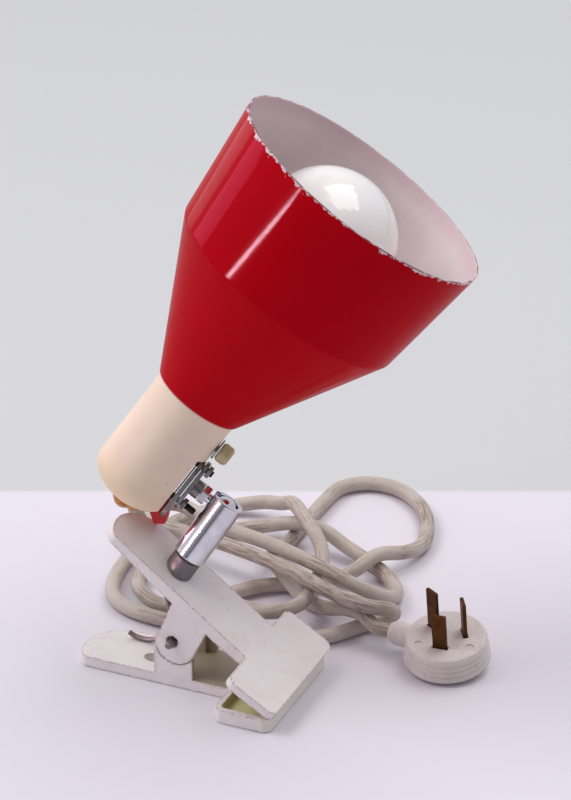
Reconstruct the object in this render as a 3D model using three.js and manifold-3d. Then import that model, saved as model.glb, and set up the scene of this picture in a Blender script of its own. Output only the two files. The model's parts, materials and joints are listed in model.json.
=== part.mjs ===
// Clip-on spot lamp: a sprung clamp, a chrome ball swivel, a cream cap and a red shade with its bulb,
// and the flex with its three-pin plug. Millimetres, +Z up.
// The origin is under the clamp's pivot, on the flat underside of the lower arm. +X points to the jaws.
import * as THREE from 'three';
import { mergeVertices } from 'three/addons/utils/BufferGeometryUtils.js';
import Module from 'manifold-3d';

const wasm = await Module();
wasm.setup();

// ---- driving dimensions -------------------------------------------------------------------------
const GAP = 0.3;                     // clearance between neighbouring pieces
const ROUND = 36;                    // facets round a turned piece

const ARM_WIDTH = 27.6;
const JAW_WIDTH = 62;
const JAW_OFFSET = -1.5;             // middle of the jaws from the middle of the arms
const PIVOT_HEIGHT = 22;
const PIN_RADIUS = 1.6;
const EAR_HOLE_RADIUS = 2.8;
const EAR_RADIUS = 9.3;
const EAR_THICKNESS = 2.3;
const LUG_THICKNESS = 2.3;           // inner lugs of the lower arm, which hold the pin
const LUG_RADIUS = 5;
const LEVER_LENGTH = 46;             // lower arm's lever, from the pivot to its tip
const DECK_HEIGHT = 5;
const TRAY_BACK = 27;
const TRAY_FRONT = 52.8;
const TRAY_HEIGHT = 6.4;
const TRAY_WALL = 2.6;
const TRAY_FLOOR = 2.4;
const CRADLE_GAP = 0.5;
const SPRING_WIRE = 2.2;
const UPRIGHT_TOP = 17;

const ARM_TOP = 48.3;                // height of the upper arm's top face above the origin
const ARM_SLOPE = 36.9;              // degrees; the lever end is the high end
const ARM_GAUGE = 2.4;
const ARM_TIP = -36.6;               // along the upper arm from its frame's origin
const ARM_JAW = 42.5;                // where the upper arm's jaw plate starts
const FLANGE_DEPTH = 5.9;
const JAW_LIFT = 5.4;                // degrees by which the jaw plate is flatter than the arm
const JAW_LENGTH = 25.1;
const JAW_DEPTH = 4.0;
const JAW_CORNER = 4;

const FOOT_ALONG = -2.85;            // the swivel's foot on the upper arm, in the arm's frame
const FOOT_ACROSS = -0.74;
const BARREL_HEADING = 34.71;        // degrees from +X round +Z
const BARREL_ELEVATION = 54.85;
const BARREL_RADIUS = 7.15;
const BARREL_BORE = 5.9;
const BARREL_LIP = 4.9;              // the rim is rolled in to hold the ball
const BARREL_START = 7.4;            // along the barrel's axis, from the arm's top face
const BARREL_TOP = 37.1;
const BALL_HEIGHT = 32.79;
const BALL_RADIUS = 5.5;
const STUD_RADIUS = 2.2;
const FOOT_RADIUS = 6.3;

const LAMP_HEADING = 31.6;
const LAMP_ELEVATION = 53.2;
const MOUNT_ROLL = -23.4;            // turns the mounting plate round the lamp's axis
const LAMP_OFFSET = 37;              // lamp axis to ball centre

// Heights along the lamp's axis are measured from the point level with the ball.
const SHADE_NECK = 32.3;
const SHADE_SHOULDER = 95.3;
const SHADE_RIM = 147.3;
const NECK_RADIUS = 20.3;
const SHOULDER_RADIUS = 53.1;
const RIM_RADIUS = 58.8;
const SHADE_GAUGE = 1;
const CAP_RADIUS = 19;
const CAP_WALL = 2.6;
const CAP_TOP = 36.4;
const CAP_APEX = -23.5;
const DOME_DEPTH = 12;
const FLAT_OFFSET = 16.2;            // the flat pad on the cap's side, from the lamp's axis
const HOLDER_RADIUS = 13.9;
const BULB_BASE = 43.4;
const BULB_RADIUS = 30;
const BULB_CENTRE = 120.6;
const PLATE_LOW = -19;
const PLATE_HIGH = 11.6;
const PLATE_THICK = 2;
const PLATE_WIDTH = 10.4;
const SCREW_PITCH = 18;
const SCREW_RADIUS = 1.5;

const CORD_RADIUS = 3.2;
const PLUG_FACE = [100, 47.2, 15.4];
const PLUG_HEADING = 175;            // direction of the flex as it leaves the plug
const PLUG_TILT = 9;
const PLUG_HEIGHT = 12.6;
const PLUG_FACE_RADIUS = 17.3;
const PLUG_BASE_RADIUS = 18.8;
const PIN_WIDTH = 6.35;
const PIN_THICK = 1.6;
const PIN_CIRCLE = 7.9;

const rad = THREE.MathUtils.degToRad;

// ---- geometry helpers ---------------------------------------------------------------------------
function toSolid(geometry) {
  const bare = new THREE.BufferGeometry();
  bare.setAttribute('position', geometry.getAttribute('position'));
  if (geometry.index) bare.setIndex(geometry.index);
  const merged = mergeVertices(bare, 1e-4);
  const points = merged.getAttribute('position').array;
  const index = merged.index.array;
  const kept = [];
  let volume = 0;
  const a = new THREE.Vector3();
  const b = new THREE.Vector3();
  const c = new THREE.Vector3();
  for (let i = 0; i < index.length; i += 3) {
    const [p, q, r] = [index[i], index[i + 1], index[i + 2]];
    if (p === q || q === r || r === p) continue;
    kept.push(p, q, r);
    a.fromArray(points, 3 * p);
    b.fromArray(points, 3 * q);
    c.fromArray(points, 3 * r);
    volume += a.dot(b.cross(c));
  }
  if (volume < 0) kept.reverse();
  return new wasm.Manifold(new wasm.Mesh({
    numProp: 3,
    vertProperties: new Float32Array(points),
    triVerts: new Uint32Array(kept),
  }));
}

function toGeometry(solid) {
  const mesh = solid.getMesh();
  const geometry = new THREE.BufferGeometry();
  geometry.setAttribute('position', new THREE.BufferAttribute(new Float32Array(mesh.vertProperties), 3));
  geometry.setIndex(new THREE.BufferAttribute(new Uint32Array(mesh.triVerts), 1));
  geometry.computeVertexNormals();
  return geometry;
}

function join(...pieces) {
  return toGeometry(pieces.map(toSolid).reduce((sum, piece) => sum.add(piece)));
}

function cut(piece, ...tools) {
  return toGeometry(tools.map(toSolid).reduce((left, tool) => left.subtract(tool), toSolid(piece)));
}

function common(piece, other) {
  return toGeometry(toSolid(piece).intersect(toSolid(other)));
}

function block(x0, x1, y0, y1, z0, z1) {
  const geometry = new THREE.BoxGeometry(x1 - x0, y1 - y0, z1 - z0);
  return geometry.translate((x0 + x1) / 2, (y0 + y1) / 2, (z0 + z1) / 2);
}

// A turned piece about +Z; the profile is a list of [radius, height].
function turned(profile, facets = ROUND) {
  const points = profile.map(([r, z]) => new THREE.Vector2(r, z));
  return new THREE.LatheGeometry(points, facets).rotateX(Math.PI / 2);
}

function rod(radius, z0, z1, facets = ROUND) {
  return turned([[0, z0], [radius, z0], [radius, z1], [0, z1]], facets);
}

function ring(inner, outer, z0, z1, facets = ROUND) {
  return turned([[inner, z0], [outer, z0], [outer, z1], [inner, z1], [inner, z0]], facets);
}

function crossRod(radius, x, z, y0, y1, facets = 24) {
  return rod(radius, y0, y1, facets).rotateX(-Math.PI / 2).translate(x, 0, z);
}

// An outline in the XY plane, raised from z0 to z1.
function raised(outline, z0, z1, steps = 10) {
  const geometry = new THREE.ExtrudeGeometry(outline, {
    depth: z1 - z0, bevelEnabled: false, curveSegments: steps,
  });
  return geometry.translate(0, 0, z0);
}

// An outline drawn in the XZ plane, from y0 to y1.
function sideways(outline, y0, y1, steps = 10) {
  return raised(outline, -y1, -y0, steps).rotateX(Math.PI / 2);
}

function polygon(points) {
  return new THREE.Shape(points.map(([x, y]) => new THREE.Vector2(x, y)));
}

function roundedRectangle(x0, x1, y0, y1, r) {
  const shape = new THREE.Shape();
  shape.moveTo(x0 + r, y0);
  shape.lineTo(x1 - r, y0);
  shape.absarc(x1 - r, y0 + r, r, -Math.PI / 2, 0);
  shape.lineTo(x1, y1 - r);
  shape.absarc(x1 - r, y1 - r, r, 0, Math.PI / 2);
  shape.lineTo(x0 + r, y1);
  shape.absarc(x0 + r, y1 - r, r, Math.PI / 2, Math.PI);
  shape.lineTo(x0, y0 + r);
  shape.absarc(x0 + r, y0 + r, r, Math.PI, 1.5 * Math.PI);
  return shape;
}

// A strip of half width w from xEnd, with a half-elliptical end that reaches xTip.
// A lever from above. Its end is two quarter ellipses that meet at y = bias.
function leverOutline(xTip, xNear, xFar, bias, xEnd, w) {
  const shape = new THREE.Shape();
  shape.moveTo(xEnd, -w);
  shape.lineTo(xEnd, w);
  shape.lineTo(xFar, w);
  shape.absellipse(xFar, bias, xFar - xTip, w - bias, Math.PI / 2, Math.PI);
  shape.absellipse(xNear, bias, xNear - xTip, w + bias, Math.PI, 1.5 * Math.PI);
  return shape;
}

function hexagon(acrossFlats) {
  const r = acrossFlats / Math.sqrt(3);
  const turns = [...Array(6).keys()].map((i) => i * Math.PI / 3);
  const corners = turns.map((a) => [r * Math.cos(a), r * Math.sin(a)]);
  return polygon(corners);
}

function nut(acrossFlats, bore, z0, z1) {
  return cut(raised(hexagon(acrossFlats), z0, z1), rod(bore, z0 - 1, z1 + 1, 16));
}

function circleShape(radius) {
  const shape = new THREE.Shape();
  shape.absarc(0, 0, radius, 0, 2 * Math.PI);
  return shape;
}

function tube(points, radius, steps, sides = 10) {
  const curve = new THREE.CatmullRomCurve3(points.map((p) => new THREE.Vector3(...p)), false, 'centripetal');
  return new THREE.ExtrudeGeometry(circleShape(radius), {
    steps, extrudePath: curve, curveSegments: sides,
  });
}

// ---- frames -------------------------------------------------------------------------------------
const lamp = new THREE.Group();

function direction(heading, elevation) {
  return new THREE.Vector3(
    Math.cos(rad(elevation)) * Math.cos(rad(heading)),
    Math.cos(rad(elevation)) * Math.sin(rad(heading)),
    Math.sin(rad(elevation)),
  );
}

function frame(origin, xAxis, zAxis) {
  const group = new THREE.Group();
  const yAxis = new THREE.Vector3().crossVectors(zAxis, xAxis);
  group.quaternion.setFromRotationMatrix(new THREE.Matrix4().makeBasis(xAxis, yAxis, zAxis));
  group.position.copy(origin);
  group.updateMatrix();
  lamp.add(group);
  return group;
}

const up = new THREE.Vector3(0, 0, 1);
const armFrame = new THREE.Group();
armFrame.position.z = ARM_TOP;
armFrame.rotation.y = rad(ARM_SLOPE);
armFrame.updateMatrix();
lamp.add(armFrame);

const barrelAxis = direction(BARREL_HEADING, BARREL_ELEVATION);
const lampAxis = direction(LAMP_HEADING, LAMP_ELEVATION);
const foot = new THREE.Vector3(FOOT_ALONG, FOOT_ACROSS, 0).applyMatrix4(armFrame.matrix);
const ball = foot.clone().addScaledVector(barrelAxis, BALL_HEIGHT);

// The stud leaves the mounting plate at right angles to the lamp's axis.
const studAxis = lampAxis.clone().multiplyScalar(lampAxis.z).sub(up).normalize();
studAxis.applyAxisAngle(lampAxis, rad(MOUNT_ROLL));
const lampOrigin = ball.clone().addScaledVector(studAxis, -LAMP_OFFSET);

const slotSide = studAxis.clone().negate();
slotSide.addScaledVector(barrelAxis, -slotSide.dot(barrelAxis)).normalize();
const barrelFrame = frame(foot, slotSide, barrelAxis);
const headFrame = frame(lampOrigin, studAxis, lampAxis);

// The stud's own frame: origin at the ball's centre, +Z towards the mounting plate.
const studFrame = frame(ball, lampAxis, studAxis.clone().negate());

function within(geometry, group) {
  return geometry.applyMatrix4(group.matrix.clone().invert());
}

// ---- materials ----------------------------------------------------------------------------------
function finish(color, roughness, metalness = 0) {
  return () => new THREE.MeshStandardMaterial({ color, roughness, metalness });
}

const whitePaint = finish(0xe9e4e0, 0.45);
const redEnamel = finish(0xa50014, 0.25);
const creamPlastic = finish(0xd6c4b4, 0.5);
const chrome = finish(0xc8c8cc, 0.12, 1);
const zinc = finish(0x8c8c8a, 0.4, 1);
const darkSteel = finish(0x3c3a38, 0.45, 1);
const blackSteel = finish(0x16161a, 0.4, 0.8);
const blackRubber = finish(0x1c1b1a, 0.8);
const bakelite = finish(0x2a1a12, 0.4);
const brass = finish(0xa08040, 0.35, 1);
const agedBrass = finish(0x3c2310, 0.5, 0.8);
const opalGlass = finish(0xf4f2ee, 0.08);
const aluminium = finish(0xb8b8b8, 0.3, 1);
const redPlastic = finish(0xc80005, 0.35);
const amberRubber = finish(0xc88c28, 0.5);
const ivoryPlastic = finish(0xc8be8c, 0.45);
const flexSheath = finish(0xafa596, 0.6);
const plugPlastic = finish(0xe1d7d2, 0.5);

function place(group, name, geometry, material) {
  const mesh = new THREE.Mesh(toGeometry(toSolid(geometry)), material());
  mesh.name = name;
  group.add(mesh);
}

// ---- clamp: lower arm, pin and spring -----------------------------------------------------------
const halfArm = ARM_WIDTH / 2;
const jawNear = JAW_OFFSET - JAW_WIDTH / 2;
const jawFar = JAW_OFFSET + JAW_WIDTH / 2;
const earInner = halfArm - EAR_THICKNESS;
const lugOuter = earInner - GAP;
const lugInner = lugOuter - LUG_THICKNESS;
const earCentre = [1.6, PIVOT_HEIGHT - 1];   // in world X and Z, where the ear's round end is centred

function lowerArm() {
  const deck = raised(leverOutline(-LEVER_LENGTH, -40, -25, -3, TRAY_BACK + 2, halfArm), 0, DECK_HEIGHT, 8);
  const tray = raised(
    roundedRectangle(TRAY_BACK, TRAY_FRONT, jawNear, jawFar, JAW_CORNER), 0, TRAY_HEIGHT, 5,
  );
  const pocket = raised(
    roundedRectangle(
      TRAY_BACK + TRAY_WALL, TRAY_FRONT - TRAY_WALL, jawNear + TRAY_WALL, jawFar - TRAY_WALL, 2,
    ),
    TRAY_FLOOR, TRAY_HEIGHT + 1, 4,
  );
  const cradle = crossRod(EAR_RADIUS + CRADLE_GAP, ...earCentre, -halfArm - 1, halfArm + 1, 40);
  let arm = cut(join(deck, tray), pocket);
  for (const side of [-1, 1]) {
    const outer = [side * halfArm, side * lugOuter].sort((a, b) => a - b);
    const inner = [side * lugOuter, side * lugInner].sort((a, b) => a - b);
    const upright = cut(block(-8.4, 9.2, ...outer, DECK_HEIGHT - 1, UPRIGHT_TOP), cradle.clone());
    const lug = block(-LUG_RADIUS, LUG_RADIUS, ...inner, DECK_HEIGHT - 1, PIVOT_HEIGHT);
    const lugEnd = crossRod(LUG_RADIUS, 0, PIVOT_HEIGHT, ...inner);
    arm = join(arm, upright, lug, lugEnd);
  }
  const bore = crossRod(PIN_RADIUS + GAP, 0, PIVOT_HEIGHT, -halfArm, halfArm, 16);
  const finger = raised(circleShape(3.2), 1, DECK_HEIGHT + 1).scale(1.5, 1, 1).translate(-13, -3, 0);
  return cut(arm, bore, finger);
}

// Torsion spring on the pin: one leg lies along the lever, the other leans up under the upper arm.
function torsionSpring() {
  const mean = 3.6;
  const start = 3.8;
  const sweep = 17.5;
  const rise = 7.2;
  const points = [[-30, rise, 8], [-27, rise, 6.6], [-20, rise, 6.6], [-15, rise, 9.5]];
  const coilSteps = 40;
  for (let i = 0; i <= coilSteps; i += 1) {
    const angle = start - (sweep * i) / coilSteps;
    const y = rise - (7.4 * i) / coilSteps;
    points.push([mean * Math.sin(angle), y, PIVOT_HEIGHT - mean * Math.cos(angle)]);
  }
  points.push([-7.5, -0.4, PIVOT_HEIGHT + 10], [-13, -0.4, PIVOT_HEIGHT + 30.6]);
  return tube(points, SPRING_WIRE / 2, 90, 4);
}

place(lamp, 'lower_arm', lowerArm(), whitePaint);
place(lamp, 'pivot_pin', crossRod(PIN_RADIUS, 0, PIVOT_HEIGHT, -halfArm - 4, halfArm + 2, 16), darkSteel);
place(lamp, 'torsion_spring', torsionSpring(), darkSteel);

// ---- clamp: upper arm, in its own frame ---------------------------------------------------------
// The pivot lies below the upper arm's top face, seen in the arm's frame.
const pivotDrop = ARM_TOP - PIVOT_HEIGHT;
const pivotAlong = pivotDrop * Math.sin(rad(ARM_SLOPE));
const pivotBelow = -pivotDrop * Math.cos(rad(ARM_SLOPE));
const earAlong = pivotAlong + 1.88;

function earShape() {
  const shape = new THREE.Shape();
  shape.moveTo(earAlong - 13.2, -ARM_GAUGE / 2);
  shape.lineTo(earAlong - 13.2, -FLANGE_DEPTH);
  shape.lineTo(earAlong - EAR_RADIUS, pivotBelow + 1);
  shape.absarc(earAlong, pivotBelow, EAR_RADIUS, Math.PI, 2 * Math.PI);
  shape.lineTo(earAlong + 6.2, -FLANGE_DEPTH);
  shape.lineTo(earAlong + 6.2, -ARM_GAUGE / 2);
  return shape;
}

function upperArm() {
  const profile = polygon([
    [ARM_TIP - 1, 0], [ARM_TIP - 1, -4.2], [-20, -4.9], [-6, -FLANGE_DEPTH],
    [30, -FLANGE_DEPTH], [ARM_JAW + 4, -5], [ARM_JAW + 4, 0],
  ]);
  const plan = raised(leverOutline(ARM_TIP, -31, -14, -3.5, ARM_JAW + 4, halfArm), -10, 1, 8);
  const hollowPlan = raised(
    leverOutline(ARM_TIP + 2.4, -31, -14, -3.5, ARM_JAW + 1, halfArm - 2.4), -10, -ARM_GAUGE, 8,
  );
  let arm = cut(common(sideways(profile, -halfArm - 1, halfArm + 1), plan), hollowPlan);
  for (const side of [-1, 1]) {
    const walls = [side * halfArm, side * earInner].sort((a, b) => a - b);
    arm = join(arm, sideways(earShape(), ...walls, 16));
  }
  const jaw = cut(
    raised(roundedRectangle(0, JAW_LENGTH, jawNear, jawFar, JAW_CORNER), -JAW_DEPTH, 0, 5),
    raised(roundedRectangle(2.2, JAW_LENGTH - 2.2, jawNear + 2.2, jawFar - 2.2, 2), -JAW_DEPTH - 1, -2.2, 4),
  );
  jaw.rotateY(-rad(JAW_LIFT)).translate(ARM_JAW, 0, 0);
  const holes = crossRod(EAR_HOLE_RADIUS, pivotAlong, pivotBelow, -halfArm - 1, halfArm + 1, 20);
  const footHole = rod(2.4, -ARM_GAUGE - 1, 1, 16).translate(FOOT_ALONG, FOOT_ACROSS, 0);
  return cut(join(arm, jaw), holes, footHole);
}

place(armFrame, 'upper_arm', upperArm(), whitePaint);

// ---- swivel: foot, barrel, ball -----------------------------------------------------------------
// The foot is turned about the barrel's axis and its underside is trimmed to the arm's top face.
function barrelFoot() {
  const body = turned([
    [0, -6], [FOOT_RADIUS, -6], [FOOT_RADIUS, 6.2], [5, 7.1], [5, 12], [0, 12],
  ]);
  const below = block(-40, 40, -40, 40, -40, GAP).applyMatrix4(armFrame.matrix);
  const bore = rod(2, -30, 6, 16).translate(FOOT_ALONG, FOOT_ACROSS, 0).applyMatrix4(armFrame.matrix);
  return cut(body, within(below, barrelFrame), within(bore, barrelFrame));
}

function footScrew() {
  const screw = join(rod(1.6, -3, 5.6, 16), rod(3.4, -5, -ARM_GAUGE - GAP, 20));
  return screw.translate(FOOT_ALONG, FOOT_ACROSS, 0);
}

function swivelBarrel() {
  const tubeBody = turned([
    [5.3, BARREL_START], [BARREL_RADIUS - 0.5, BARREL_START], [BARREL_RADIUS, BARREL_START + 0.6],
    [BARREL_RADIUS, BARREL_TOP - 0.5], [BARREL_RADIUS - 0.4, BARREL_TOP], [BARREL_LIP, BARREL_TOP],
    [BARREL_LIP, BARREL_TOP - 0.7], [BARREL_BORE, BARREL_TOP - 1.4], [BARREL_BORE, 14], [5.3, 13],
    [5.3, BARREL_START],
  ]);
  const slotHalf = STUD_RADIUS + 0.5;
  const slot = block(0, BARREL_RADIUS + 2, -slotHalf, slotHalf, BALL_HEIGHT - 0.6, BARREL_TOP + 2);
  const slotEnd = rod(slotHalf, 0, BARREL_RADIUS + 2, 20).rotateY(Math.PI / 2);
  return cut(tubeBody, slot, slotEnd.translate(0, 0, BALL_HEIGHT - 0.6));
}

function ballSeat() {
  const cup = rod(BARREL_BORE - GAP, BALL_HEIGHT - 8.5, BALL_HEIGHT - 2.4, 28);
  return cut(cup, new THREE.SphereGeometry(BALL_RADIUS + GAP, 28, 18).translate(0, 0, BALL_HEIGHT));
}

function barrelSpring() {
  const points = [];
  const turns = 4;
  const low = 15.2;
  const high = BALL_HEIGHT - 10.2;
  for (let i = 0; i <= turns * 10; i += 1) {
    const angle = (2 * Math.PI * i) / 10;
    points.push([4 * Math.cos(angle), 4 * Math.sin(angle), low + ((high - low) * i) / (turns * 10)]);
  }
  return tube(points, 0.8, turns * 12, 3);
}

place(barrelFrame, 'barrel_foot', barrelFoot(), zinc);
place(armFrame, 'foot_screw', footScrew(), darkSteel);
place(barrelFrame, 'swivel_barrel', swivelBarrel(), chrome);
place(barrelFrame, 'ball_seat', ballSeat(), brass);
place(barrelFrame, 'barrel_spring', barrelSpring(), darkSteel);

// The stud's ball, neck and thread; distances run from the ball's centre towards the plate.
const FLANGE_FACE = LAMP_OFFSET - FLAT_OFFSET - GAP - 0.6 - GAP - PLATE_THICK - GAP;
const FLANGE_THICK = 1.8;
const BOSS_LENGTH = 3.8;

function ballStud() {
  const neckStart = Math.sqrt(BALL_RADIUS ** 2 - STUD_RADIUS ** 2);
  const lower = Math.asin(STUD_RADIUS / BALL_RADIUS);
  const profile = [[0, -BALL_RADIUS]];
  for (let i = 1; i < 12; i += 1) {
    const angle = Math.PI - ((Math.PI - lower) * i) / 12;
    profile.push([BALL_RADIUS * Math.sin(angle), BALL_RADIUS * Math.cos(angle)]);
  }
  profile.push([STUD_RADIUS, neckStart], [STUD_RADIUS, FLANGE_FACE - 1], [0, FLANGE_FACE - 1]);
  return turned(profile, 28);
}

const bossFace = FLANGE_FACE - FLANGE_THICK - BOSS_LENGTH;
place(studFrame, 'ball_stud', ballStud(), chrome);
place(studFrame, 'stud_nut', nut(7.6, STUD_RADIUS + GAP, bossFace - 3.5, bossFace - GAP), zinc);

// ---- head: mounting plate, flange and screws, in the lamp's frame -------------------------------
// A strip across the stud axis: x is the distance from the lamp's axis, z runs along it.
function strip(x0, x1, width, z0, z1) {
  const outline = roundedRectangle(z0, z1, -width / 2, width / 2, width / 2 - 0.01);
  return raised(outline, x0, x1, 6).applyMatrix4(
    new THREE.Matrix4().makeBasis(up, new THREE.Vector3(0, 1, 0), new THREE.Vector3(-1, 0, 0)),
  ).scale(-1, 1, 1);
}

function studRod(radius, x0, x1, z, facets = 20, y = 0) {
  return rod(radius, x0, x1, facets).rotateY(Math.PI / 2).translate(0, y, z);
}

const gasketFace = FLAT_OFFSET + GAP;
const plateFace = gasketFace + 0.6 + GAP;
const flangeFace = plateFace + PLATE_THICK + GAP;
const flangeOut = flangeFace + FLANGE_THICK;
const bossOut = flangeOut + BOSS_LENGTH;
const screwHeights = [SCREW_PITCH / 2, -SCREW_PITCH / 2];

function drilled(piece, x0, x1) {
  return cut(piece, ...screwHeights.map((z) => studRod(SCREW_RADIUS + GAP, x0 - 1, x1 + 1, z, 16)));
}

place(headFrame, 'plate_gasket',
  drilled(strip(gasketFace, gasketFace + 0.6, PLATE_WIDTH + 0.6, PLATE_LOW + 0.5, PLATE_HIGH - 0.5),
    gasketFace, gasketFace + 1), blackRubber);
place(headFrame, 'mounting_plate',
  drilled(strip(plateFace, plateFace + PLATE_THICK, PLATE_WIDTH, PLATE_LOW, PLATE_HIGH),
    plateFace, plateFace + PLATE_THICK), zinc);

function swivelFlange() {
  const body = join(
    strip(flangeFace, flangeOut, 9, -12.5, 12.5),
    studRod(3.9, flangeFace + 0.5, bossOut, 0, 24),
  );
  const bored = cut(body, studRod(STUD_RADIUS + GAP, flangeFace - 1, bossOut + 1, 0));
  return drilled(bored, flangeFace, flangeOut);
}
place(headFrame, 'swivel_flange', swivelFlange(), zinc);

// Each screw's head is inside the cap; its end stands out through the plate, the flange and a nut.
['upper', 'lower'].forEach((which, i) => {
  const reach = i === 0 ? 3.2 : 7;
  const screw = join(
    studRod(SCREW_RADIUS, FLAT_OFFSET - 3, flangeOut + reach, screwHeights[i], 14),
    studRod(2.5, FLAT_OFFSET - 4.6, FLAT_OFFSET - 3, screwHeights[i], 16),
  );
  place(headFrame, `flange_screw_${which}`, screw, blackSteel);
  const screwNut = nut(5, SCREW_RADIUS + GAP, flangeOut + GAP, flangeOut + 2.2).rotateY(Math.PI / 2);
  place(headFrame, `flange_nut_${which}`, screwNut.translate(0, 0, screwHeights[i]), zinc);
});

// ---- head: cap, cord sleeve, switch -------------------------------------------------------------
function domeArc(radius, depth, apex, steps = 9) {
  const points = [];
  for (let i = 0; i <= steps; i += 1) {
    const angle = (Math.PI / 2) * (i / steps);
    points.push([radius * Math.sin(angle), apex + depth * (1 - Math.cos(angle))]);
  }
  return points;
}

// The flex leaves the dome straight down, through a grommet that bends back behind the lever.
const GROMMET_RADIUS = 3.9;
const GROMMET = [
  [-29.4, 1.2, 83], [-29.4, 1.4, 78.6], [-30.4, 4.4, 75.2], [-31.6, 9.5, 72.2], [-32.7, 14.7, 69.8],
];

const BUTTON_TILT = 38.5;            // degrees between the button's travel and the lamp's axis
const BUTTON_SEAT = [15.2, 9.3, -19.3];
const BUTTON_DEPTH = 6;
function buttonPlaced(geometry) {
  return geometry.rotateY(Math.PI - rad(BUTTON_TILT)).translate(...BUTTON_SEAT);
}

const THUMB_HEIGHT = 19.5;
function thumbPlaced(geometry) {
  return geometry.rotateY(Math.PI / 2).translate(0, 0, THUMB_HEIGHT);
}

function cap() {
  const outer = domeArc(CAP_RADIUS, DOME_DEPTH, CAP_APEX);
  const inner = domeArc(CAP_RADIUS - CAP_WALL, DOME_DEPTH - 1, CAP_APEX + CAP_WALL).reverse();
  const holderHole = HOLDER_RADIUS + GAP;
  const shell = turned([
    ...outer, [CAP_RADIUS, CAP_TOP], [holderHole, CAP_TOP], [holderHole, CAP_TOP - 2.4],
    [CAP_RADIUS - CAP_WALL, CAP_TOP - 2.4], ...inner,
  ]);
  const backing = common(
    block(FLAT_OFFSET - 2.6, CAP_RADIUS, -12, 12, PLATE_LOW - 1, PLATE_HIGH + 3),
    turned([...domeArc(CAP_RADIUS - 1, DOME_DEPTH - 1, CAP_APEX + 1), [CAP_RADIUS - 1, 30], [0, 30]]),
  );
  const pad = block(FLAT_OFFSET, CAP_RADIUS + 2, -CAP_RADIUS, CAP_RADIUS, PLATE_LOW - 1, PLATE_HIGH + 1.4);
  const grommetHole = tube([[GROMMET[0][0], GROMMET[0][1], 90], ...GROMMET], GROMMET_RADIUS + GAP, 18, 8);
  const slot = buttonPlaced(block(-4.9, 4.9, -BUTTON_DEPTH / 2 - GAP, BUTTON_DEPTH / 2 + GAP, -9, 12));
  const thumbHole = thumbPlaced(rod(1.8, 14, 22, 14));
  const screwHoles = screwHeights.map((z) => studRod(SCREW_RADIUS + GAP, 10, 22, z, 14));
  return cut(join(shell, backing), pad, within(grommetHole, headFrame), slot, thumbHole, ...screwHoles);
}

// The button's narrow end is out; its root runs inside the slot.
function switchButton() {
  const outline = polygon([[-4.6, -6], [-4.6, 1], [-2.4, 7.6], [2.4, 7.6], [4.6, 1], [4.6, -6]]);
  return buttonPlaced(sideways(outline, -BUTTON_DEPTH / 2, BUTTON_DEPTH / 2));
}

function thumbscrew() {
  return thumbPlaced(join(rod(1.5, 15, 19.8, 14), rod(4.8, CAP_RADIUS + GAP, CAP_RADIUS + 1.1, 24)));
}

place(headFrame, 'cap', cap(), creamPlastic);
place(lamp, 'cord_grommet', tube(GROMMET, GROMMET_RADIUS, 14, 8), amberRubber);
place(headFrame, 'switch_button', switchButton(), redPlastic);
place(headFrame, 'switch_body', block(-2, 8, 2, 12.5, -14, 3), bakelite);
place(headFrame, 'thumbscrew', thumbscrew(), zinc);
place(headFrame, 'thumbscrew_knob',
  thumbPlaced(turned([[0, 20.4], [3.6, 20.4], [4.4, 21.4], [4.2, 25], [3.2, 26.2], [0, 26.2]], 24)),
  ivoryPlastic);

// ---- head: lampholder, bulb and shade -----------------------------------------------------------
const CUP_FLOOR = 41.7;
const CUP_TOP = 59.7;
const CUP_RADIUS = 11.5;

function lampholderBody() {
  const body = turned([
    [0, 18], [HOLDER_RADIUS - 2, 18], [HOLDER_RADIUS, 21], [HOLDER_RADIUS, CUP_TOP],
    [CUP_RADIUS, CUP_TOP], [CUP_RADIUS, CUP_FLOOR], [0, CUP_FLOOR],
  ]);
  const tools = [];
  for (const side of [-1, 1]) {
    const reach = [side * 8, side * 12.9].sort((a, b) => a - b);
    tools.push(block(...reach, -1.6, 1.6, 48.7, CUP_TOP + 1));
    tools.push(rod(1.9, 36, CUP_FLOOR + 1, 14).translate(0, side * 4.6, 0));
  }
  return cut(body, ...tools);
}

function bulbGlass() {
  const neck = 14.5;
  const outer = [[10.6, 67.7], [12.2, 75.7], [neck, 83.7]];
  const tangent = 0.62;
  for (let i = 0; i <= 12; i += 1) {
    const angle = tangent - Math.PI / 2 + ((Math.PI - tangent) * i) / 12;
    outer.push([BULB_RADIUS * Math.cos(angle), BULB_CENTRE + BULB_RADIUS * Math.sin(angle)]);
  }
  const skin = BULB_RADIUS - 1;
  const inner = [[9.6, 67.7], [11.2, 75.7], [neck - 1, 83.7]];
  for (let i = 0; i <= 12; i += 1) {
    const angle = tangent - Math.PI / 2 + ((Math.PI - tangent) * i) / 12;
    inner.push([skin * Math.cos(angle), BULB_CENTRE + skin * Math.sin(angle)]);
  }
  outer[outer.length - 1][0] = 0;
  inner[inner.length - 1][0] = 0;
  return turned([...outer, ...inner.reverse(), [10.6, 67.7]], 32);
}

function bulbCap() {
  const shell = turned([
    [0, BULB_BASE], [9.8, BULB_BASE], [11, BULB_BASE + 2], [11, 67.1], [10.4, 67.4], [0, 67.4],
  ], 28);
  const pin = rod(1.1, -12.6, 12.6, 12).rotateY(Math.PI / 2).translate(0, 0, 50.7);
  return join(shell, pin);
}

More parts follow.
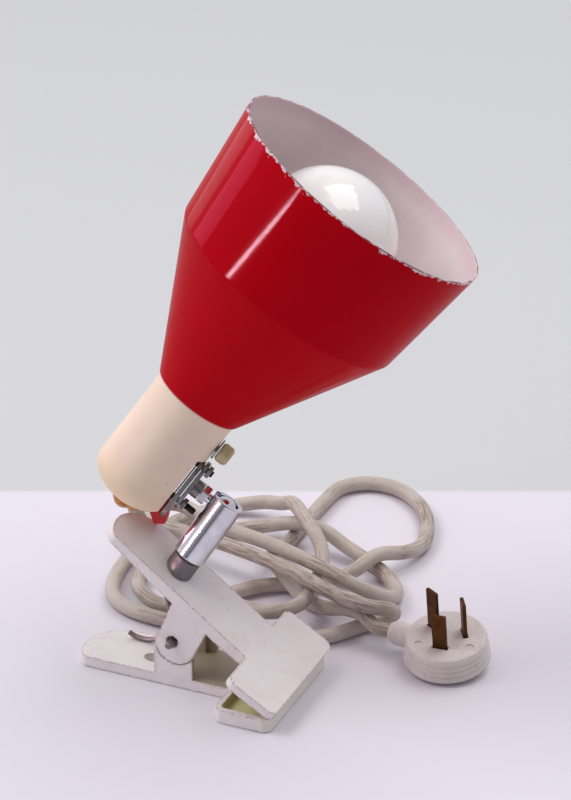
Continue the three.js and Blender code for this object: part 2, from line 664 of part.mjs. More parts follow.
function shade() {
  const g = SHADE_GAUGE;
  return turned([
    [NECK_RADIUS, SHADE_NECK], [SHOULDER_RADIUS, SHADE_SHOULDER], [RIM_RADIUS, SHADE_RIM],
    [RIM_RADIUS - g, SHADE_RIM], [SHOULDER_RADIUS - g, SHADE_SHOULDER + 0.3], [21.5, CAP_TOP + 1.5],
    [HOLDER_RADIUS + GAP, CAP_TOP + 1.5], [HOLDER_RADIUS + GAP, CAP_TOP + GAP], [20.8, CAP_TOP + GAP],
    [19.4, SHADE_NECK + 1], [19.4, SHADE_NECK], [NECK_RADIUS, SHADE_NECK],
  ], 48);
}

place(headFrame, 'lampholder_body', lampholderBody(), bakelite);
place(headFrame, 'shade_ring', ring(HOLDER_RADIUS + GAP, 18, CAP_TOP + 1.8, CAP_TOP + 6), bakelite);
[-1, 1].forEach((side, i) => {
  const plunger = rod(1.5, 36.5, BULB_BASE - GAP, 14).translate(0, side * 4.6, 0);
  place(headFrame, `contact_plunger_${'ab'[i]}`, plunger, brass);
});
place(headFrame, 'bulb_cap', bulbCap(), aluminium);
place(headFrame, 'bulb_glass', bulbGlass(), opalGlass);
place(headFrame, 'shade', shade(), redEnamel);

// ---- flex: the lead down from the grommet, the run on the table, and the plug --------------------
const ON_TABLE = CORD_RADIUS + 0.4;
const LEAD = [
  [-33, 16, 69.1], [-34, 21.5, 63], [-33, 28, 50], [-26, 35, 36], [-15, 40, 22], [-4, 43.8, 11.6],
  [2, 45, 9], [6.6, 45.3, 8.3],
];
const RUN = [
  [7.6, 45.3, 8.2], [12, 45, 8.2], [17, 44, 9], [23, 45, 10.2], [28, 51, 10.4], [30, 62, 10.4],
  [28, 75, 10.4], [25, 88, 10.4], [20, 98, 14], [14, 104, 17.2], [4, 115, 17.2],
  [-4, 123, 16.8], [-13, 130, 11], [-24, 134, 7],
  [-40, 128, ON_TABLE], [-53, 111, ON_TABLE], [-60, 90, ON_TABLE], [-60.5, 68, ON_TABLE],
  [-57, 48, ON_TABLE], [-51, 37, ON_TABLE], [-40, 31, ON_TABLE], [-20, 29, ON_TABLE],
  [8, 30, ON_TABLE], [22, 35.5, ON_TABLE], [33, 38.5, ON_TABLE], [45, 43.5, ON_TABLE],
  [52, 52, ON_TABLE], [57, 60, ON_TABLE], [63, 65, 5],
  [69, 64, 9.5], [69, 57.5, 15.5], [63, 53.5, 17.2], [52, 55, 17.2], [40, 59, 17.2], [16, 69, 17.2],
  [-15, 77, 17.2], [-36, 80, 17.2], [-50, 82, 17.2], [-59, 88, 17.2], [-59, 97, 17.2], [-50, 101, 17.2],
  [-36, 96, 17.2], [-19, 90, 17.2], [3, 85, 17.2], [27, 77, 17.2], [40, 73, 16], [51, 72.5, 13],
  [59, 78, 8], [60, 89, ON_TABLE], [51, 101, ON_TABLE], [38, 110, ON_TABLE], [26, 114, 6], [12, 117, 10.4],
  [-2, 117, 10.2], [-16, 116, 6], [-30, 110, ON_TABLE], [-42, 98, ON_TABLE], [-49, 82, ON_TABLE],
  [-49.5, 62, ON_TABLE], [-46, 50, 5], [-40, 42, 6], [-32, 39, 4.5], [-22, 42, ON_TABLE],
  [-13, 51, ON_TABLE], [-5, 63, ON_TABLE], [6, 74, ON_TABLE], [18, 80, ON_TABLE], [30, 86, ON_TABLE],
  [38, 95, 7.5], [44, 106, 10.6], [51, 118, 7], [54, 132, ON_TABLE], [50, 149, ON_TABLE],
  [40, 165, ON_TABLE], [25, 175, ON_TABLE], [11, 175, ON_TABLE], [1, 166, ON_TABLE], [-1, 151, ON_TABLE],
  [-1, 134, ON_TABLE], [-1, 116, ON_TABLE], [-1, 99, 6.5], [3, 84, 10.4], [12, 75, 10.6], [23, 70, 4.5],
  [30, 67, ON_TABLE], [39, 62.5, 6], [49, 58, 10.6], [57, 56.3, 11],
];

// Plug: +X is the way the flex leaves, +Z is the pins' direction, the origin is the face's centre.
const plugOut = direction(PLUG_HEADING, 0);
const plugUp = new THREE.Vector3(0, -Math.sin(rad(PLUG_TILT)), Math.cos(rad(PLUG_TILT)));
plugOut.addScaledVector(plugUp, -plugOut.dot(plugUp)).normalize();
const plugFrame = frame(new THREE.Vector3(...PLUG_FACE), plugOut, plugUp);
const NECK_AXIS = -6.4;
const NECK_END = 27;

function pinBlade(turn, broadside, length, grow = 0) {
  const blade = block(
    -PIN_WIDTH / 2 - grow, PIN_WIDTH / 2 + grow,
    -PIN_THICK / 2 - grow, PIN_THICK / 2 + grow,
    -4 - grow, length,
  );
  return blade.rotateZ(rad(broadside)).translate(
    PIN_CIRCLE * Math.cos(rad(turn)), PIN_CIRCLE * Math.sin(rad(turn)), 0,
  );
}

// The earth pin is radial and longer; the other two lie across their radius.
const PINS = [
  ['plug_pin_earth', -22, -22, 19.9],
  ['plug_pin_active', 98, 188, 17.1],
  ['plug_pin_neutral', 218, 308, 17.1],
];

function plugBody() {
  const body = turned([
    [0, -PLUG_HEIGHT], [14.2, -PLUG_HEIGHT], [PLUG_BASE_RADIUS - 1.2, -PLUG_HEIGHT + 2],
    [PLUG_BASE_RADIUS, -PLUG_HEIGHT + 4], [PLUG_FACE_RADIUS, -0.8], [PLUG_FACE_RADIUS - 0.8, 0], [0, 0],
  ], 40);
  const neckSeat = rod(5.3 + GAP, 13.5, 30, 20).rotateY(Math.PI / 2).translate(0, 0, NECK_AXIS);
  return cut(body, neckSeat, ...PINS.map(([, turn, broadside]) => pinBlade(turn, broadside, 2, GAP)));
}

place(lamp, 'cord_lead', tube(LEAD, CORD_RADIUS, 8, 5), flexSheath);
const neckMouth = new THREE.Vector3(NECK_END + GAP, 0, NECK_AXIS).applyMatrix4(plugFrame.matrix);
const neckRun = neckMouth.clone().addScaledVector(plugOut, 7);
place(lamp, 'cord', tube([...RUN, neckRun.toArray(), neckMouth.toArray()], CORD_RADIUS, 84, 5), flexSheath);
place(plugFrame, 'plug_body', plugBody(), plugPlastic);
place(plugFrame, 'plug_neck',
  turned([
    [0, 14], [5.3, 14], [5.3, NECK_END - 3], [4.2, NECK_END - 0.6], [3.4, NECK_END], [0, NECK_END],
  ], 24)
    .rotateY(Math.PI / 2).translate(0, 0, NECK_AXIS), plugPlastic);
for (const [name, turn, broadside, length] of PINS) {
  place(plugFrame, name, pinBlade(turn, broadside, length), agedBrass);
}

export default lamp;
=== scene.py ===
import json
import math

import bmesh
import bpy
from mathutils import Matrix, Vector

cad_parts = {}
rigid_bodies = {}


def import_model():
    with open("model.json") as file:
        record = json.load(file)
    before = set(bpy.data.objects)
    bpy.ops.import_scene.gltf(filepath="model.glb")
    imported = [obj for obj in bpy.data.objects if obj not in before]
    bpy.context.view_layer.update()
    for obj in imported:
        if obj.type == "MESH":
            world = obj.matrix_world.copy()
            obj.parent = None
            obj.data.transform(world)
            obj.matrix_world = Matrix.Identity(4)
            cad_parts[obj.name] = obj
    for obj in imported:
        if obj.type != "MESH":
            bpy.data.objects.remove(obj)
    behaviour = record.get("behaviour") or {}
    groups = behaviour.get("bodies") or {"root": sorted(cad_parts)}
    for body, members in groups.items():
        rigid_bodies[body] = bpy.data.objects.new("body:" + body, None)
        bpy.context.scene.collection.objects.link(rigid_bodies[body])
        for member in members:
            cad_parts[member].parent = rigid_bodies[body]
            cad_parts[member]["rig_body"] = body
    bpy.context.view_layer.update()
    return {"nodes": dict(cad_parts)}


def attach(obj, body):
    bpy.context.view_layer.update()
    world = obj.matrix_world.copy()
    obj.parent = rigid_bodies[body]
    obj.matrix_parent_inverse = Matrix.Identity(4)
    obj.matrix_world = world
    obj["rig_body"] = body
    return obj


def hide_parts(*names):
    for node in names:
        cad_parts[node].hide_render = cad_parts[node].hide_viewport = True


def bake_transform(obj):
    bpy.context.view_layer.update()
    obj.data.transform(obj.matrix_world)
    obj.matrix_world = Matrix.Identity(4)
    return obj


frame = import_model()

MM = 0.001
NODES = frame["nodes"]
SCENE = bpy.context.scene
UP = Vector((0, 0, 1))

# ---- dimensions shared with the frame, in millimetres and degrees --------------------------------
ARM_TOP = 48.3
ARM_SLOPE = 36.9
FOOT_ALONG = -2.85
FOOT_ACROSS = -0.74
BARREL_HEADING = 34.71
BARREL_ELEVATION = 54.85
BALL_HEIGHT = 32.79
BARREL_TOP = 37.1
BALL_RADIUS = 5.5
STUD_RADIUS = 2.2
LAMP_OFFSET = 37
MOUNT_ROLL = -23.4
FLAT_OFFSET = 16.2
CAP_RADIUS = 19
CAP_TOP = 36.4
CAP_APEX = -23.5
DOME_DEPTH = 12
BULB_CENTRE = 120.6
BULB_RADIUS = 30
SHADE_NECK = 32.3
SHADE_SHOULDER = 95.3
SHADE_RIM = 147.3
NECK_RADIUS = 20.3
SHOULDER_RADIUS = 53.1
RIM_RADIUS = 58.8
PIVOT_HEIGHT = 22
CORD_RADIUS = 3.2
PLUG_FACE = (100, 47.2, 15.4)
PLUG_HEADING = 175
PLUG_TILT = 9
PLUG_HEIGHT = 12.6
NECK_AXIS = -6.4
NECK_END = 27
BUTTON_TILT = 38.5
THUMB_HEIGHT = 19.5
FLANGE_SCREW = 9


# ---- frames --------------------------------------------------------------------------------------
def direction(heading, elevation):
    h, e = math.radians(heading), math.radians(elevation)
    return Vector((math.cos(e) * math.cos(h), math.cos(e) * math.sin(h), math.sin(e)))


def placed(origin_mm, x_axis, z_axis):
    y_axis = z_axis.cross(x_axis)
    turn = Matrix((x_axis, y_axis, z_axis)).transposed().to_4x4()
    return Matrix.Translation(Vector(origin_mm) * MM) @ turn


BARREL_AXIS = direction(BARREL_HEADING, BARREL_ELEVATION)
LAMP_AXIS = direction(31.6, 53.2)
ARM = Matrix.Translation((0, 0, ARM_TOP * MM)) @ Matrix.Rotation(math.radians(ARM_SLOPE), 4, "Y")
FOOT = ARM @ (Vector((FOOT_ALONG, FOOT_ACROSS, 0)) * MM) / MM
BALL = FOOT + BARREL_AXIS * BALL_HEIGHT
STUD_AXIS = (LAMP_AXIS * LAMP_AXIS.z - UP).normalized()
STUD_AXIS.rotate(Matrix.Rotation(math.radians(MOUNT_ROLL), 3, LAMP_AXIS))
LAMP_ORIGIN = BALL - STUD_AXIS * LAMP_OFFSET
SLOT_SIDE = (-STUD_AXIS + BARREL_AXIS * STUD_AXIS.dot(BARREL_AXIS)).normalized()

WORLD = Matrix.Identity(4)
BARREL = placed(FOOT, SLOT_SIDE, BARREL_AXIS)
HEAD = placed(LAMP_ORIGIN, STUD_AXIS, LAMP_AXIS)
STUD = placed(BALL, LAMP_AXIS, -STUD_AXIS)
PLUG_UP = Vector((0, -math.sin(math.radians(PLUG_TILT)), math.cos(math.radians(PLUG_TILT))))
PLUG_OUT = direction(PLUG_HEADING, 0)
PLUG_OUT = (PLUG_OUT - PLUG_UP * PLUG_OUT.dot(PLUG_UP)).normalized()
PLUG = placed(PLUG_FACE, PLUG_OUT, PLUG_UP)


# ---- materials -----------------------------------------------------------------------------------
def linear(r, g, b):
    """A colour given as 0 to 255 display values, as the shader's linear values."""
    values = [c / 255 for c in (r, g, b)]
    return tuple(c / 12.92 if c <= 0.04045 else ((c + 0.055) / 1.055) ** 2.4 for c in values) + (1,)


class Finish:
    """A principled material whose colour, roughness and relief are built up in layers.
    Texture positions are the piece's own, in millimetres."""

    def __init__(self, name, color, rough, metal=0.0, coat=0.0, specular=0.5, strand=False):
        self.material = bpy.data.materials.new(name)
        self.material.use_nodes = True
        self.tree = self.material.node_tree
        self.shader = self.tree.nodes["Principled BSDF"]
        self.shader.inputs["Metallic"].default_value = metal
        self.shader.inputs["Coat Weight"].default_value = coat
        self.shader.inputs["Coat Roughness"].default_value = 0.04
        self.shader.inputs["Specular IOR Level"].default_value = specular
        self.shader.inputs["Roughness"].default_value = rough
        self.base = self.node("ShaderNodeRGB")
        self.base.outputs[0].default_value = linear(*color)
        self.color = self.base.outputs[0]
        self.rough = None
        self.rough_value = rough
        self.normal = None
        if strand:
            self.place = self.node("ShaderNodeAttribute", attribute_name="strand").outputs["Vector"]
            return
        where = self.node("ShaderNodeTexCoord")
        scaled = self.node("ShaderNodeVectorMath", operation="SCALE")
        scaled.inputs["Scale"].default_value = 1000
        self.link(where.outputs["Object"], scaled.inputs[0])
        self.place = scaled.outputs[0]

    def node(self, kind, **settings):
        made = self.tree.nodes.new(kind)
        for key, value in settings.items():
            setattr(made, key, value)
        return made

    def link(self, a, b):
        self.tree.links.new(a, b)

    def value(self, operation, a, b):
        made = self.node("ShaderNodeMath", operation=operation)
        for slot, item in ((0, a), (1, b)):
            if isinstance(item, (int, float)):
                made.inputs[slot].default_value = item
            else:
                self.link(item, made.inputs[slot])
        return made.outputs[0]

    def step(self, source, low, high):
        """0 below low and 1 above high; low above high turns it round."""
        made = self.node("ShaderNodeMapRange", interpolation_type="SMOOTHSTEP")
        made.inputs["From Min"].default_value = min(low, high)
        made.inputs["From Max"].default_value = max(low, high)
        made.inputs["To Min"].default_value = 0 if low <= high else 1
        made.inputs["To Max"].default_value = 1 if low <= high else 0
        self.link(source, made.inputs["Value"])
        return made.outputs["Result"]

    def noise(self, size, stretch=(1, 1, 1), detail=4.0, offset=0.0):
        moved = self.node("ShaderNodeMapping")
        moved.inputs["Location"].default_value = (offset, offset * 1.7, offset * 0.6)
        moved.inputs["Scale"].default_value = tuple(1 / (size * s) for s in stretch)
        self.link(self.place, moved.inputs["Vector"])
        made = self.node("ShaderNodeTexNoise")
        made.inputs["Scale"].default_value = 1
        made.inputs["Detail"].default_value = detail
        made.inputs["Roughness"].default_value = 0.6
        self.link(moved.outputs[0], made.inputs["Vector"])
        return made.outputs[0]

    def spots(self, size, low, high, stretch=(1, 1, 1), offset=0.0, detail=4.0):
        return self.step(self.noise(size, stretch, detail, offset), low, high)

    def along(self, axis):
        split = self.node("ShaderNodeSeparateXYZ")
        self.link(self.place, split.inputs[0])
        return split.outputs["XYZ".index(axis)]

    def edges(self, width, low=0.01, high=0.08):
        """1 where the surface turns sharply within width millimetres."""
        bevel = self.node("ShaderNodeBevel", samples=6)
        bevel.inputs["Radius"].default_value = width * MM
        plain = self.node("ShaderNodeNewGeometry")
        dot = self.node("ShaderNodeVectorMath", operation="DOT_PRODUCT")
        self.link(bevel.outputs[0], dot.inputs[0])
        self.link(plain.outputs["Normal"], dot.inputs[1])
        return self.step(self.value("SUBTRACT", 1, dot.outputs["Value"]), low, high)

    def layer(self, mask, color, rough=None, amount=1.0):
        if amount != 1.0:
            mask = self.value("MULTIPLY", mask, amount)
        mix = self.node("ShaderNodeMix", data_type="RGBA")
        self.link(mask, mix.inputs["Factor"])
        self.link(self.color, mix.inputs["A"])
        mix.inputs["B"].default_value = linear(*color)
        self.color = mix.outputs["Result"]
        if rough is not None:
            self.roughen(mask, rough)
        return self

    def roughen(self, mask, rough):
        mix = self.node("ShaderNodeMix", data_type="FLOAT")
        self.link(mask, mix.inputs["Factor"])
        if self.rough is None:
            mix.inputs["A"].default_value = self.rough_value
        else:
            self.link(self.rough, mix.inputs["A"])
        mix.inputs["B"].default_value = rough
        self.rough = mix.outputs["Result"]
        return self

    def relief(self, height, depth, strength=1.0):
        bump = self.node("ShaderNodeBump")
        bump.inputs["Distance"].default_value = depth * MM
        bump.inputs["Strength"].default_value = strength
        self.link(height, bump.inputs["Height"])
        if self.normal is not None:
            self.link(self.normal, bump.inputs["Normal"])
        self.normal = bump.outputs[0]
        return self

    def done(self):
        self.link(self.color, self.shader.inputs["Base Color"])
        if self.rough is not None:
            self.link(self.rough, self.shader.inputs["Roughness"])
        if self.normal is not None:
            self.link(self.normal, self.shader.inputs["Normal"])
        return self.material


def both(finish, a, b):
    return finish.value("MULTIPLY", a, b)


def white_paint():
    f = Finish("white_paint", (243, 236, 234), 0.36, coat=0.2)
    f.layer(f.spots(16, 0.42, 0.75), (232, 220, 218), amount=0.6)
    f.layer(f.spots(5, 0.55, 0.8, offset=9), (220, 204, 198), 0.5, amount=0.4)
    worn = both(f, f.edges(1.8), f.spots(1.0, 0.42, 0.56))
    f.layer(worn, (204, 172, 168), 0.6, amount=0.85)
    chips = both(f, f.edges(1.5), f.spots(0.62, 0.54, 0.59, offset=4))
    f.layer(chips, (104, 82, 76), 0.7, amount=0.9)
    scuffs = both(f, f.spots(0.8, 0.6, 0.66, (1, 1, 1), 37), f.spots(11, 0.55, 0.66, offset=50))
    f.layer(scuffs, (160, 146, 138), 0.6, amount=0.55)
    f.layer(f.spots(1.3, 0.735, 0.76, offset=21), (120, 100, 90), 0.6, amount=0.7)
    f.relief(f.noise(1.6), 0.05, 0.5)
    f.relief(chips, 0.08, -0.5)
    return f


def lower_paint():
    """The lower arm: white outside, its tray yellowed and its channel a darker yellow-brown."""
    f = white_paint()
    inside = both(f, f.step(f.along("X"), 28.4, 28.8), f.step(f.along("X"), 51.2, 50.8))
    inside = both(f, inside, f.step(f.along("Z"), 6.2, 5.9))
    reach = f.value("ABSOLUTE", f.value("ADD", f.along("Y"), 1.5), 0)
    inside = both(f, inside, f.step(reach, 29.6, 29.2))
    f.layer(inside, (214, 206, 142), 0.55, amount=0.9)
    f.layer(f.step(f.along("X"), 46, 52.6), (236, 232, 212), amount=0.5)
    channel = both(f, f.step(f.along("X"), -9.2, -8.6), f.step(f.along("X"), 28, 27))
    channel = both(f, channel, f.step(f.along("Z"), 4.2, 4.8))
    within = f.step(f.value("ABSOLUTE", f.along("Y"), 0), 13.6, 13.3)
    f.layer(both(f, channel, within), (172, 158, 128), 0.6, amount=0.85)
    return f.done()


def upper_paint():
    """The upper arm: white, and olive underneath."""
    f = white_paint()
    normal = f.node("ShaderNodeNewGeometry")
    split = f.node("ShaderNodeSeparateXYZ")
    f.link(normal.outputs["True Normal"], split.inputs[0])
    # Faces that point down get a dark olive: yellowed plastic underneath, darkened further as painted shade.
    below = f.step(split.outputs["Z"], -0.4, -0.6)
    reach = f.value("ABSOLUTE", f.along("Y"), 0)
    f.layer(both(f, below, f.step(reach, 30.6, 30.2)), (150, 138, 104), 0.6, amount=0.9)
    return f.done()


def red_enamel():
    f = Finish("red_enamel", (188, 0, 18), 0.5, coat=0.35, specular=0.01)
    f.shader.inputs["Coat Roughness"].default_value = 0.06
    f.shader.inputs["Coat IOR"].default_value = 1.15
    f.layer(f.spots(60, 0.35, 0.7), (174, 0, 16), amount=0.5)
    rim = f.along("Z")
    ragged = f.value("ADD", rim, f.value("MULTIPLY", f.noise(3.0, detail=6.0), 8.0))
    chipped = both(f, f.step(ragged, SHADE_RIM + 3.1, SHADE_RIM + 3.35), f.spots(15, 0.36, 0.44, offset=3))
    f.layer(chipped, (230, 210, 213), 0.5)
    dark = both(f, f.step(ragged, SHADE_RIM + 4.3, SHADE_RIM + 4.5), f.spots(2.4, 0.5, 0.56, offset=14))
    f.layer(dark, (70, 50, 54), 0.6)
    f.layer(f.step(rim, SHADE_NECK + 0.7, SHADE_NECK + 0.3), (196, 150, 150), 0.5, amount=0.7)
    scratch = both(f, f.spots(1.2, 0.66, 0.7, (1, 1, 14), offset=30), f.spots(22, 0.55, 0.62, offset=8))
    f.layer(scratch, (205, 60, 80), 0.4, amount=0.35)
    f.relief(f.noise(14, detail=2.0), 0.12, 0.35)
    f.relief(chipped, 0.12, -0.6)
    return f.done()


def shade_inside():
    f = Finish("shade_inside", (236, 220, 220), 0.5)
    f.layer(f.spots(34, 0.4, 0.7), (216, 198, 199), amount=0.5)
    f.layer(f.step(f.along("Z"), SHADE_RIM - 9, SHADE_RIM), (214, 176, 182), amount=0.55)
    f.layer(f.spots(2.4, 0.72, 0.76), (150, 120, 118), amount=0.4)
    f.relief(f.noise(2.5), 0.04, 0.5)
    return f.done()


def rim_edge():
    f = Finish("rim_edge", (214, 184, 188), 0.5)
    f.layer(f.spots(5, 0.44, 0.5), (96, 34, 42), 0.5, amount=0.85)
    f.layer(f.spots(1.5, 0.6, 0.66, offset=12), (120, 110, 112), 0.4)
    return f.done()


def cream_plastic():
    f = Finish("cream_plastic", (248, 226, 203), 0.5, specular=0.25)
    f.layer(f.step(f.along("Z"), 6, CAP_APEX), (243, 216, 178), amount=0.85)
    f.layer(f.spots(20, 0.4, 0.7), (240, 216, 196), amount=0.45)
    near_pad = both(f, f.step(f.along("X"), 8, 16), f.step(f.along("Z"), 20, 10))
    f.layer(both(f, near_pad, f.spots(2.2, 0.6, 0.68)), (150, 128, 110), 0.6, amount=0.4)
    f.layer(f.spots(1.4, 0.7, 0.74, offset=5), (150, 128, 108), 0.6, amount=0.5)
    f.relief(f.noise(1.2), 0.03, 0.5)
    return f.done()


def plain(
    name, color, rough, metal=0.0, coat=0.0,
    blotch=None, grain=0.8, depth=0.03, dirt=None, stretch=(1, 1, 1),
):
    """A finish with soft blotches, dirt in spots and a fine grain."""
    f = Finish(name, color, rough, metal, coat)
    if blotch is not None:
        f.layer(f.spots(grain * 6, 0.4, 0.7, stretch), blotch, min(1.0, rough + 0.15), amount=0.6)
    if dirt is not None:
        f.layer(f.spots(grain * 2, 0.6, 0.68, stretch, offset=17), dirt, 0.7, amount=0.6)
    f.roughen(f.spots(grain * 3, 0.35, 0.75, stretch, offset=2), min(1.0, rough * 1.5 + 0.02))
    f.relief(f.noise(grain, stretch), depth, 0.6)
    return f.done()


def flex_sheath():
    f = Finish("flex_sheath", (197, 187, 177), 0.55, strand=True)
    f.layer(f.spots(24, 0.4, 0.7), (178, 167, 155), amount=0.7)
    f.layer(f.spots(3.2, 0.5, 0.72, (1, 1, 4), 7), (172, 152, 136), 0.65, amount=0.6)
    grimy = f.spots(60, 0.46, 0.58, offset=13)
    f.layer(both(f, grimy, f.spots(1.0, 0.42, 0.6, (1, 1, 9), 3)), (132, 110, 94), 0.7, amount=0.7)
    f.layer(f.spots(0.8, 0.64, 0.7, (1, 1, 3), 31), (120, 98, 84), 0.7, amount=0.6)
    f.relief(f.noise(1.1, (1, 1, 8), 6.0), 0.25, 0.8)
    return f.done()


def speckled_plug():
    f = Finish("speckled_plug", (220, 210, 205), 0.5)
    f.layer(f.spots(7, 0.45, 0.7), (208, 196, 190), amount=0.6)
    f.layer(f.spots(0.9, 0.6, 0.66), (176, 160, 150), 0.6, amount=0.7)
    f.layer(f.spots(0.8, 0.69, 0.72, offset=11), (96, 82, 76), 0.7, amount=0.8)
    f.relief(f.noise(0.8), 0.08, 0.7)
    return f.done()


def amber_rubber():
    f = Finish("amber_rubber", (206, 142, 40), 0.4)
    f.shader.inputs["Subsurface Weight"].default_value = 0.35
    f.shader.inputs["Subsurface Radius"].default_value = (0.004, 0.002, 0.0006)
    f.layer(f.spots(3, 0.45, 0.65), (170, 104, 22), amount=0.7)
    f.relief(f.noise(0.8), 0.05, 0.6)
    return f.done()


def opal_glass():
    f = Finish("opal_glass", (250, 243, 241), 0.08, coat=0.8)
    f.shader.inputs["Subsurface Weight"].default_value = 0.2
    f.shader.inputs["Subsurface Radius"].default_value = (0.006, 0.006, 0.006)
    f.layer(f.spots(26, 0.4, 0.7), (230, 222, 219), amount=0.4)
    f.roughen(f.spots(8, 0.55, 0.75, offset=5), 0.16)
    return f.done()


CHROME = plain("chrome", (222, 222, 228), 0.09, 1.0, blotch=(190, 188, 192), grain=1.4, depth=0.006)
ZINC = plain("zinc", (150, 148, 146), 0.3, 1.0, blotch=(104, 100, 98), grain=0.7, dirt=(60, 54, 48))
FOOT_METAL = plain("foot_metal", (128, 122, 122), 0.42, 0.7, blotch=(104, 98, 98), grain=0.8)
DARK_STEEL = plain("dark_steel", (132, 127, 124), 0.42, 1.0, blotch=(84, 76, 70), grain=0.6)
BLACK_STEEL = plain("black_steel", (26, 26, 30), 0.35, 0.6, blotch=(44, 42, 42), grain=0.5)
BLACK_RUBBER = plain("black_rubber", (26, 25, 24), 0.8, blotch=(44, 42, 40), grain=0.6)
BAKELITE = plain("bakelite", (48, 30, 20), 0.35, coat=0.3, blotch=(34, 20, 14), grain=1.2)
BRASS = plain("brass", (176, 146, 84), 0.3, 1.0, blotch=(130, 98, 50), grain=0.6)
AGED_BRASS = plain("aged_brass", (92, 58, 26), 0.38, 0.9, blotch=(52, 30, 14), grain=0.9, dirt=(30, 18, 10))
ALUMINIUM = plain("aluminium", (190, 190, 192), 0.3, 1.0, blotch=(160, 160, 162), grain=0.8)
RED_PLASTIC = plain("red_plastic", (238, 10, 18), 0.3, coat=0.3, blotch=(214, 2, 10), grain=0.8)
IVORY = plain(
    "ivory_plastic", (204, 194, 150), 0.36, coat=0.2, blotch=(178, 164, 112), grain=1.1, dirt=(130, 112, 66),
)
FLEX = flex_sheath()
PLUG_PLASTIC = speckled_plug()
AMBER = amber_rubber()
OPAL = opal_glass()
CREAM = cream_plastic()
RED = red_enamel()
INSIDE = shade_inside()
RIM = rim_edge()
LOWER_PAINT = lower_paint()
UPPER_PAINT = upper_paint()


# ---- building pieces -----------------------------------------------------------------------------
def shade_smooth(piece, angle=35):
    for face in piece.data.polygons:
        face.use_smooth = True
    piece.data.set_sharp_from_angle(angle=math.radians(angle))


def add(name, mesh, matrix, body, material, replaced=()):
    """Puts a mesh in millimetres into the scene as a piece that rides on a body."""
    mesh.transform(Matrix.Scale(MM, 4))
    piece = bpy.data.objects.new(name, mesh)
    SCENE.collection.objects.link(piece)
    piece.matrix_world = matrix
    for item in material if isinstance(material, (list, tuple)) else [material]:
        mesh.materials.append(item)
    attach(piece, body)
    if replaced:
        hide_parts(*replaced)
    return piece


def rounded(profile, radius, steps=5):
    """The same profile with each inner corner replaced by an arc of about that radius."""
    points = [Vector(p) for p in profile]
    out = [points[0]]
    for a, b, c in zip(points, points[1:], points[2:]):
        before_corner, after_corner = a - b, c - b
        angle = before_corner.angle(after_corner)
        if angle > math.radians(172) or min(before_corner.length, after_corner.length) < 1e-6:
            out.append(b)
            continue
        reach = min(radius / math.tan(angle / 2), before_corner.length * 0.45, after_corner.length * 0.45)
        start = b + before_corner.normalized() * reach
        end = b + after_corner.normalized() * reach
        for i in range(steps + 1):
            t = i / steps
            out.append(start * (1 - t) ** 2 + b * 2 * t * (1 - t) + end * t * t)
    out.append(points[-1])
    return out


def lathe_mesh(name, profile, facets=96, material_of=None):
    """A closed mesh turned about Z from (radius, height) points; a radius of 0 makes a pole.
    Long stretches get a ring near each end, which keeps their shading straight."""
    points, parts = [Vector(profile[0])], []
    for k, (start, end) in enumerate(zip(profile, profile[1:])):
        span = (Vector(end) - Vector(start)).length
        for share in [0.3 / span, 1 - 0.3 / span, 1] if span > 2 else [1]:
            points.append(Vector(start).lerp(Vector(end), share))
            parts.append(k)
    bm = bmesh.new()
    rings = []
    for r, z in points:
        if r < 1e-6:
            rings.append([bm.verts.new((0, 0, z))])
            continue
        angles = [2 * math.pi * i / facets for i in range(facets)]
        rings.append([bm.verts.new((r * math.cos(a), r * math.sin(a), z)) for a in angles])
    for k, low, high in zip(parts, rings, rings[1:]):
        for i in range(facets):
            j = (i + 1) % facets
            corners = [low[i % len(low)], low[j % len(low)], high[j % len(high)], high[i % len(high)]]
            unique = list(dict.fromkeys(corners))
            if len(unique) > 2:
                face = bm.faces.new(unique)
                face.material_index = material_of(k) if material_of else 0
    bmesh.ops.remove_doubles(bm, verts=bm.verts, dist=1e-5)
    bmesh.ops.recalc_face_normals(bm, faces=bm.faces)
    mesh = bpy.data.meshes.new(name)
    bm.to_mesh(mesh)
    bm.free()
    return mesh


def turned(name, profile, matrix, body, material, replaced=(), facets=96, angle=35):
    piece = add(name, lathe_mesh(name, profile, facets), matrix, body, material, replaced)
    shade_smooth(piece, angle)
    return piece


def carve(piece, cutters):
    """Cuts closed meshes, in millimetres and in the piece's own frame, out of a piece."""
    for mesh in cutters:
        mesh.transform(Matrix.Scale(MM, 4))
        tool = bpy.data.objects.new("cutter", mesh)
        SCENE.collection.objects.link(tool)
        tool.matrix_world = piece.matrix_world
        cut = piece.modifiers.new("cut", "BOOLEAN")
        cut.operation = "DIFFERENCE"
        cut.solver = "EXACT"
        cut.object = tool
        bpy.context.view_layer.update()
        result = bpy.data.meshes.new_from_object(piece.evaluated_get(bpy.context.evaluated_depsgraph_get()))
        piece.modifiers.clear()
        piece.data = result
        bpy.data.objects.remove(tool)


def box_mesh(x0, x1, y0, y1, z0, z1):
    bm = bmesh.new()
    bmesh.ops.create_cube(bm, size=1)
    for v in bm.verts:
        x = (x0 + x1) / 2 + v.co.x * (x1 - x0)
        y = (y0 + y1) / 2 + v.co.y * (y1 - y0)
        z = (z0 + z1) / 2 + v.co.z * (z1 - z0)
        v.co = (x, y, z)
    mesh = bpy.data.meshes.new("box")
    bm.to_mesh(mesh)
    bm.free()
    return mesh


def rod_mesh(radius, z0, z1, facets=32):
    return lathe_mesh("rod", [(0, z0), (radius, z0), (radius, z1), (0, z1)], facets)


def turned_mesh(mesh, matrix_mm):
    mesh.transform(matrix_mm)
    return mesh


